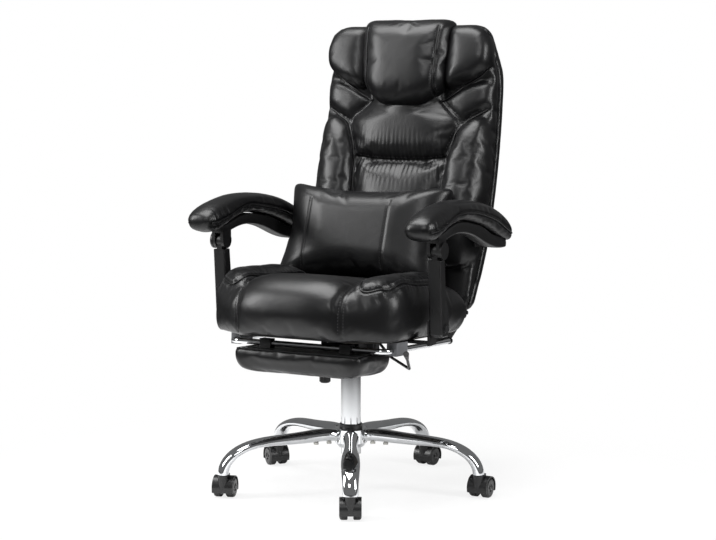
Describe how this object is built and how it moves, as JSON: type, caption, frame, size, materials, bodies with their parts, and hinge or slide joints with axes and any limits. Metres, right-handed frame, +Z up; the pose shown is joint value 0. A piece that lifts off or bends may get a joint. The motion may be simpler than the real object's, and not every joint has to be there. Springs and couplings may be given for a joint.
{
  "type": "reclining office chair",
  "caption": "Padded high-back office chair on a wheeled star base, with a reclining back, swinging arms, a loose lumbar pillow and a footrest that slides out and flips over.",
  "frame": {"origin": "on the floor, on the column's axis", "axes": "+Z up, the sitter faces -Y, the sitter's left is +X"},
  "size_m": [0.7064, 0.7441, 1.1893],
  "materials": {
    "chrome": "polished",
    "black_steel": "satin",
    "steel": "satin",
    "black_plastic": "matte",
    "guide_plastic": "matte",
    "wheel_nylon": "matte",
    "plywood": "raw",
    "black_pu_leather": "satin"
  },
  "bodies": {
    "base": {"base_hub": "chrome", "hub_collar": "black_plastic", "leg_bolts": "steel", "column_tube": "chrome", "column_bearings": "black_plastic", "piston_rod": "steel", "base_leg_1": "chrome", "base_leg_2": "chrome", "base_leg_3": "chrome", "base_leg_4": "chrome", "base_leg_5": "chrome"},
    "caster_1_fork": {"caster_1": "black_plastic"},
    "caster_1_wheel_pair": {"caster_1_wheels": "wheel_nylon"},
    "caster_2_fork": {"caster_2": "black_plastic"},
    "caster_2_wheel_pair": {"caster_2_wheels": "wheel_nylon"},
    "caster_3_fork": {"caster_3": "black_plastic"},
    "caster_3_wheel_pair": {"caster_3_wheels": "wheel_nylon"},
    "caster_4_fork": {"caster_4": "black_plastic"},
    "caster_4_wheel_pair": {"caster_4_wheels": "wheel_nylon"},
    "caster_5_fork": {"caster_5": "black_plastic"},
    "caster_5_wheel_pair": {"caster_5_wheels": "wheel_nylon"},
    "gas_lift": {"gas_cylinder": "black_steel"},
    "valve": {"valve_button": "steel"},
    "tilt_carrier": {"mechanism_housing": "black_steel", "tilt_axle": "steel", "tension_spring": "steel"},
    "tension_adjuster": {"tension_knob": "black_plastic"},
    "height_handle": {"height_lever": "black_steel"},
    "seat": {"seat_plate": "black_steel", "seat_board": "plywood", "seat_cushion": "black_pu_leather", "seat_centre_panel": "black_pu_leather", "seat_bolster_left": "black_pu_leather", "seat_bolster_right": "black_pu_leather", "footrest_guides": "guide_plastic", "seat_brackets": "black_steel"},
    "recline_handle": {"recline_lever": "black_steel"},
    "footrest_slide": {"footrest_frame": "chrome", "rail_caps": "black_plastic"},
    "footrest": {"footrest_plate": "black_plastic", "footrest_pad": "black_pu_leather"},
    "post_left": {"arm_post_left": "black_plastic"},
    "arm_left": {"arm_bar_left": "black_plastic", "arm_pad_left": "black_pu_leather"},
    "post_right": {"arm_post_right": "black_plastic"},
    "arm_right": {"arm_bar_right": "black_plastic", "arm_pad_right": "black_pu_leather"},
    "back": {"back_rear_cover": "black_pu_leather", "back_board": "plywood", "back_foam": "black_pu_leather", "back_centre_upper": "black_pu_leather", "back_centre_lower": "black_pu_leather", "back_bolster_left": "black_pu_leather", "back_bolster_right": "black_pu_leather", "shoulder_panels": "black_pu_leather", "head_wing_left": "black_pu_leather", "head_wing_right": "black_pu_leather", "head_pillow": "black_pu_leather", "lumbar_pillow": "black_pu_leather", "back_irons": "black_steel"}
  },
  "joints": [
    {"name": "gas_lift_height", "type": "slide", "parent": "base", "child": "gas_lift", "axis": [0, 0, 1], "range_m": [0, 0.08]},
    {"name": "seat_swivel", "type": "hinge", "parent": "gas_lift", "child": "tilt_carrier", "pos_m": [0, 0, 0.36], "axis": [0, 0, 1], "continuous": true},
    {"name": "height_lever_lift", "type": "hinge", "parent": "tilt_carrier", "child": "height_handle", "pos_m": [0.062, 0, 0.382], "axis": [0, -1, 0], "range_deg": [0, 3.4], "stiffness_Nm_per_rad": 4, "springref_deg": -17.19},
    {"name": "valve_press", "type": "slide", "parent": "gas_lift", "child": "valve", "axis": [0, 0, -1], "range_m": [0, 0.0038], "stiffness_N_per_m": 800, "springref_m": -0.002},
    {"name": "tension_knob_turn", "type": "hinge", "parent": "tilt_carrier", "child": "tension_adjuster", "pos_m": [-0.036, -0.07, 0.3], "axis": [0, 0, 1], "continuous": true},
    {"name": "seat_rock", "type": "hinge", "parent": "tilt_carrier", "child": "seat", "pos_m": [0, -0.045, 0.362], "axis": [-1, 0, 0], "range_deg": [0, 10], "stiffness_Nm_per_rad": 260, "springref_deg": -20.05},
    {"name": "footrest_pull", "type": "slide", "parent": "seat", "child": "footrest_slide", "axis": [0, -0.9986, 0.0523], "range_m": [0, 0.26]},
    {"name": "footrest_flip", "type": "hinge", "parent": "footrest_slide", "child": "footrest", "pos_m": [0, -0.22574, 0.3968], "axis": [-1, 0, 0], "range_deg": [0, 180]},
    {"name": "back_recline", "type": "hinge", "parent": "seat", "child": "back", "pos_m": [0.2025, 0.238, 0.436], "axis": [-1, 0, 0], "range_deg": [0, 45]},
    {"name": "post_swing_left", "type": "hinge", "parent": "seat", "child": "post_left", "pos_m": [0.299, -0.113, 0.444], "axis": [-1, 0, 0], "range_deg": [0, 45]},
    {"name": "arm_pivot_left", "type": "hinge", "parent": "post_left", "child": "arm_left", "pos_m": [0.299, -0.13, 0.632], "axis": [1, 0, 0], "range_deg": [0, 45]},
    {"name": "post_swing_right", "type": "hinge", "parent": "seat", "child": "post_right", "pos_m": [-0.299, -0.113, 0.444], "axis": [-1, 0, 0], "range_deg": [0, 45]},
    {"name": "arm_pivot_right", "type": "hinge", "parent": "post_right", "child": "arm_right", "pos_m": [-0.299, -0.13, 0.632], "axis": [1, 0, 0], "range_deg": [0, 45]},
    {"name": "recline_lever_lift", "type": "hinge", "parent": "seat", "child": "recline_handle", "pos_m": [-0.23, 0.15747, 0.39074], "axis": [-1, 0, 0], "range_deg": [0, 18], "stiffness_Nm_per_rad": 3, "springref_deg": -17.19},
    {"name": "caster_1_swivel", "type": "hinge", "parent": "base", "child": "caster_1_fork", "pos_m": [0.15633, -0.29402, 0.06], "axis": [0, 0, 1], "continuous": true},
    {"name": "caster_1_roll", "type": "hinge", "parent": "caster_1_fork", "child": "caster_1_wheel_pair", "pos_m": [0.14835, -0.27901, 0.025], "axis": [0.8829, 0.4695, 0], "continuous": true},
    {"name": "caster_2_swivel", "type": "hinge", "parent": "base", "child": "caster_2_fork", "pos_m": [0.32794, 0.05782, 0.06], "axis": [0, 0, 1], "continuous": true},
    {"name": "caster_2_roll", "type": "hinge", "parent": "caster_2_fork", "child": "caster_2_wheel_pair", "pos_m": [0.32794, 0.07482, 0.025], "axis": [1, 0, 0], "continuous": true},
    {"name": "caster_3_swivel", "type": "hinge", "parent": "base", "child": "caster_3_fork", "pos_m": [0.04634, 0.32976, 0.06], "axis": [0, 0, 1], "continuous": true},
    {"name": "caster_3_roll", "type": "hinge", "parent": "caster_3_fork", "child": "caster_3_wheel_pair", "pos_m": [0.04842, 0.34663, 0.025], "axis": [0.9925, -0.1219, 0], "continuous": true},
    {"name": "caster_4_swivel", "type": "hinge", "parent": "base", "child": "caster_4_fork", "pos_m": [-0.2993, 0.14598, 0.06], "axis": [0, 0, 1], "continuous": true},
    {"name": "caster_4_roll", "type": "hinge", "parent": "caster_4_fork", "child": "caster_4_wheel_pair", "pos_m": [-0.31288, 0.15621, 0.025], "axis": [0.6018, 0.7986, 0], "continuous": true},
    {"name": "caster_5_swivel", "type": "hinge", "parent": "base", "child": "caster_5_fork", "pos_m": [-0.23132, -0.23954, 0.06], "axis": [0, 0, 1], "continuous": true},
    {"name": "caster_5_roll", "type": "hinge", "parent": "caster_5_fork", "child": "caster_5_wheel_pair", "pos_m": [-0.23601, -0.2232, 0.025], "axis": [0.9613, 0.2756, 0], "continuous": true}
  ],
  "couplings": [
    {"joint": "valve_press", "follows": "height_lever_lift", "m_per_rad": 0.062},
    {"joint": "footrest_flip", "follows": "footrest_pull", "rad_per_m": 12.08},
    {"joint": "post_swing_left", "follows": "back_recline", "ratio": 1},
    {"joint": "arm_pivot_left", "follows": "back_recline", "ratio": 1},
    {"joint": "post_swing_right", "follows": "back_recline", "ratio": 1},
    {"joint": "arm_pivot_right", "follows": "back_recline", "ratio": 1}
  ]
}
